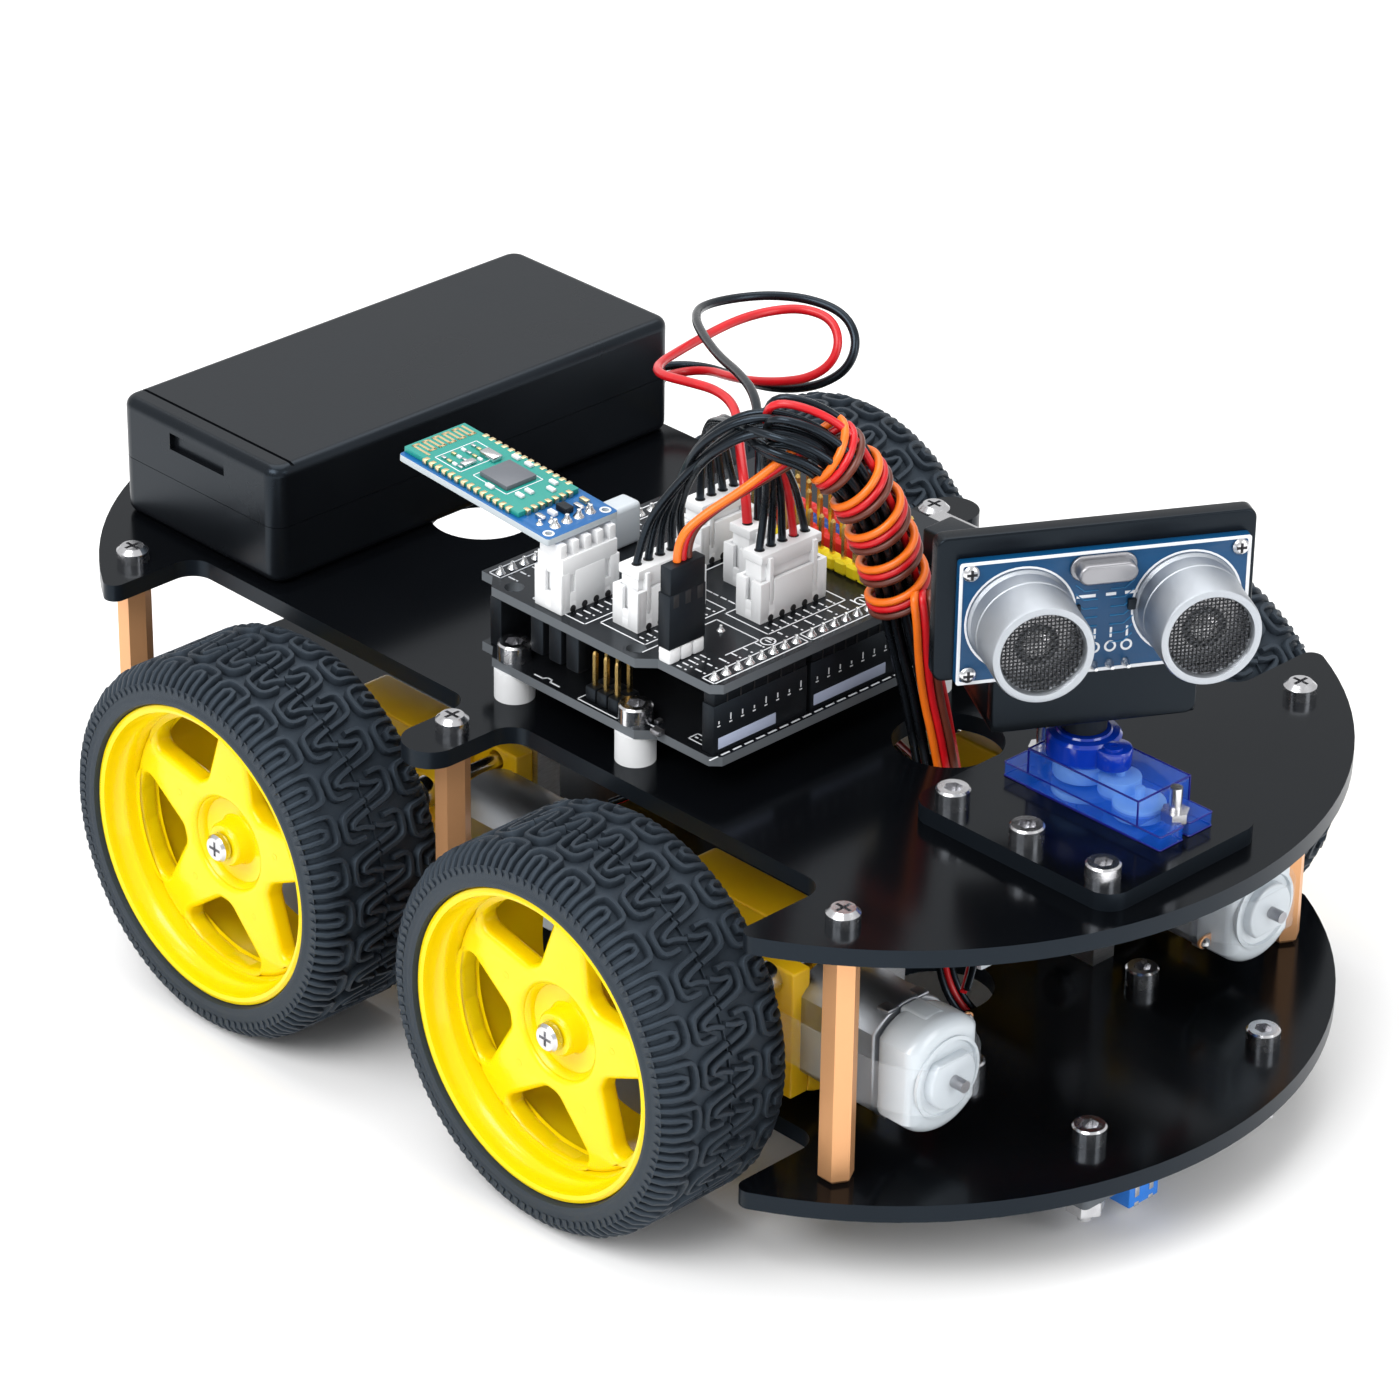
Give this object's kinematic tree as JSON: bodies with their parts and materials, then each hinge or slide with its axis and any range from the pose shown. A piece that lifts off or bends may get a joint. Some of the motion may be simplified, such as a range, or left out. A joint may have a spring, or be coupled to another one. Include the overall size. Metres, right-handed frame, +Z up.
{
  "type": "four wheel robot chassis",
  "caption": "Two-deck rolling robot chassis with geared wheel motors, stacked control boards, battery box and a panning ultrasonic sensor on a micro servo.",
  "frame": {"origin": "on the floor, under the middle of the car's bounding box", "axes": "+X forwards, towards the ultrasonic sensor; +Y to the car's left, along the wheel axles; +Z up"},
  "size_m": [0.229, 0.156, 0.124],
  "materials": {
    "tyre_rubber": "matte moulded rubber with block tread",
    "rim_yellow": "glossy moulded plastic",
    "shaft_white": "moulded nylon",
    "steel": "bright nickel plate",
    "dark_steel": "turned steel",
    "acrylic_black": "polished black acrylic, laser-cut edges",
    "brass": "turned brass",
    "gearbox_yellow": "moulded plastic",
    "motor_steel": "drawn steel",
    "cap_white": "translucent nylon",
    "clear_strap": "clear polycarbonate",
    "aluminium": "milled",
    "box_black": "satin ABS",
    "cell_green": "shrink-wrapped cell",
    "board_black": "black solder mask with white print",
    "parts_black": "moulded plastic",
    "nylon_white": "moulded nylon",
    "gold_pins": "gold flash on coloured header bases",
    "board_blue": "blue solder mask with white print",
    "radio_green": "green solder mask on a blue carrier",
    "servo_blue": "translucent blue polycarbonate",
    "servo_inner": "moulded gears and motor",
    "holder_black": "satin moulded plastic",
    "can_alloy": "matt drawn aluminium",
    "wire_black": "PVC insulation",
    "wire_red": "PVC insulation",
    "wire_servo": "orange, red and brown PVC insulation"
  },
  "bodies": {
    "chassis": {"battery_box": "box_black", "battery_cells": "cell_green", "battery_lead_black": "wire_black", "battery_lead_red": "wire_red", "board_screws": "steel", "board_spacers": "nylon_white", "bottom_plate": "acrylic_black", "bracket_screws": "steel", "controller_board": "board_black", "controller_parts": "parts_black", "gearbox_inner_shells": "gearbox_yellow", "gearbox_outer_shells": "gearbox_yellow", "line_sensor_board": "board_black", "line_sensor_screws": "steel", "motor_brackets": "aluminium", "motor_cans": "motor_steel", "motor_end_caps": "cap_white", "motor_straps": "clear_strap", "pin_headers": "gold_pins", "radio_board": "radio_green", "servo_case": "servo_blue", "servo_internals": "servo_inner", "servo_lead": "wire_servo", "servo_plate": "acrylic_black", "servo_screws": "steel", "shield_board": "board_black", "shield_sockets": "nylon_white", "standoff_screws": "steel", "standoffs": "brass", "top_plate": "acrylic_black", "wire_harness": "wire_black", "wire_plugs": "nylon_white"},
    "wheel_fl": {"tyre_fl": "tyre_rubber", "rim_fl": "rim_yellow", "wheel_screw_fl": "steel", "wheel_shaft_fl": "shaft_white"},
    "rotor_fl": {"motor_rotor_fl": "dark_steel"},
    "wheel_fr": {"tyre_fr": "tyre_rubber", "rim_fr": "rim_yellow", "wheel_screw_fr": "steel", "wheel_shaft_fr": "shaft_white"},
    "rotor_fr": {"motor_rotor_fr": "dark_steel"},
    "wheel_rl": {"tyre_rl": "tyre_rubber", "rim_rl": "rim_yellow", "wheel_screw_rl": "steel", "wheel_shaft_rl": "shaft_white"},
    "rotor_rl": {"motor_rotor_rl": "dark_steel"},
    "wheel_rr": {"tyre_rr": "tyre_rubber", "rim_rr": "rim_yellow", "wheel_screw_rr": "steel", "wheel_shaft_rr": "shaft_white"},
    "rotor_rr": {"motor_rotor_rr": "dark_steel"},
    "sensor_pan": {"servo_output": "servo_inner", "servo_horn": "nylon_white", "sensor_holder": "holder_black", "sensor_board": "board_blue", "sensor_cans": "can_alloy", "sensor_parts": "steel", "sensor_screws": "steel"},
    "battery_cover": {"battery_lid": "box_black"}
  },
  "joints": [
    {"name": "wheel_fl_spin", "type": "hinge", "parent": "chassis", "child": "wheel_fl", "pos_m": [0.0406, 0.052, 0.0325], "axis": [0, 1, 0], "continuous": true},
    {"name": "wheel_fr_spin", "type": "hinge", "parent": "chassis", "child": "wheel_fr", "pos_m": [0.0406, -0.052, 0.0325], "axis": [0, 1, 0], "continuous": true},
    {"name": "wheel_rl_spin", "type": "hinge", "parent": "chassis", "child": "wheel_rl", "pos_m": [-0.0384, 0.052, 0.0325], "axis": [0, 1, 0], "continuous": true},
    {"name": "wheel_rr_spin", "type": "hinge", "parent": "chassis", "child": "wheel_rr", "pos_m": [-0.0384, -0.052, 0.0325], "axis": [0, 1, 0], "continuous": true},
    {"name": "rotor_fl_spin", "type": "hinge", "parent": "chassis", "child": "rotor_fl", "pos_m": [0.0731, 0.0367, 0.0325], "axis": [1, 0, 0], "continuous": true},
    {"name": "rotor_fr_spin", "type": "hinge", "parent": "chassis", "child": "rotor_fr", "pos_m": [0.0731, -0.0367, 0.0325], "axis": [1, 0, 0], "continuous": true},
    {"name": "rotor_rl_spin", "type": "hinge", "parent": "chassis", "child": "rotor_rl", "pos_m": [-0.0059, 0.0367, 0.0325], "axis": [1, 0, 0], "continuous": true},
    {"name": "rotor_rr_spin", "type": "hinge", "parent": "chassis", "child": "rotor_rr", "pos_m": [-0.0059, -0.0367, 0.0325], "axis": [1, 0, 0], "continuous": true},
    {"name": "sensor_pan_turn", "type": "hinge", "parent": "chassis", "child": "sensor_pan", "pos_m": [0.08205, 0, 0.078], "axis": [0, 0, 1], "range_deg": [-60, 120]},
    {"name": "battery_lid_lift", "type": "slide", "parent": "chassis", "child": "battery_cover", "axis": [0, 0, 1], "range_m": [0, 0.03]}
  ],
  "couplings": [
    {"joint": "rotor_fl_spin", "follows": "wheel_fl_spin", "ratio": 48},
    {"joint": "rotor_fr_spin", "follows": "wheel_fr_spin", "ratio": 48},
    {"joint": "rotor_rl_spin", "follows": "wheel_rl_spin", "ratio": 48},
    {"joint": "rotor_rr_spin", "follows": "wheel_rr_spin", "ratio": 48}
  ]
}
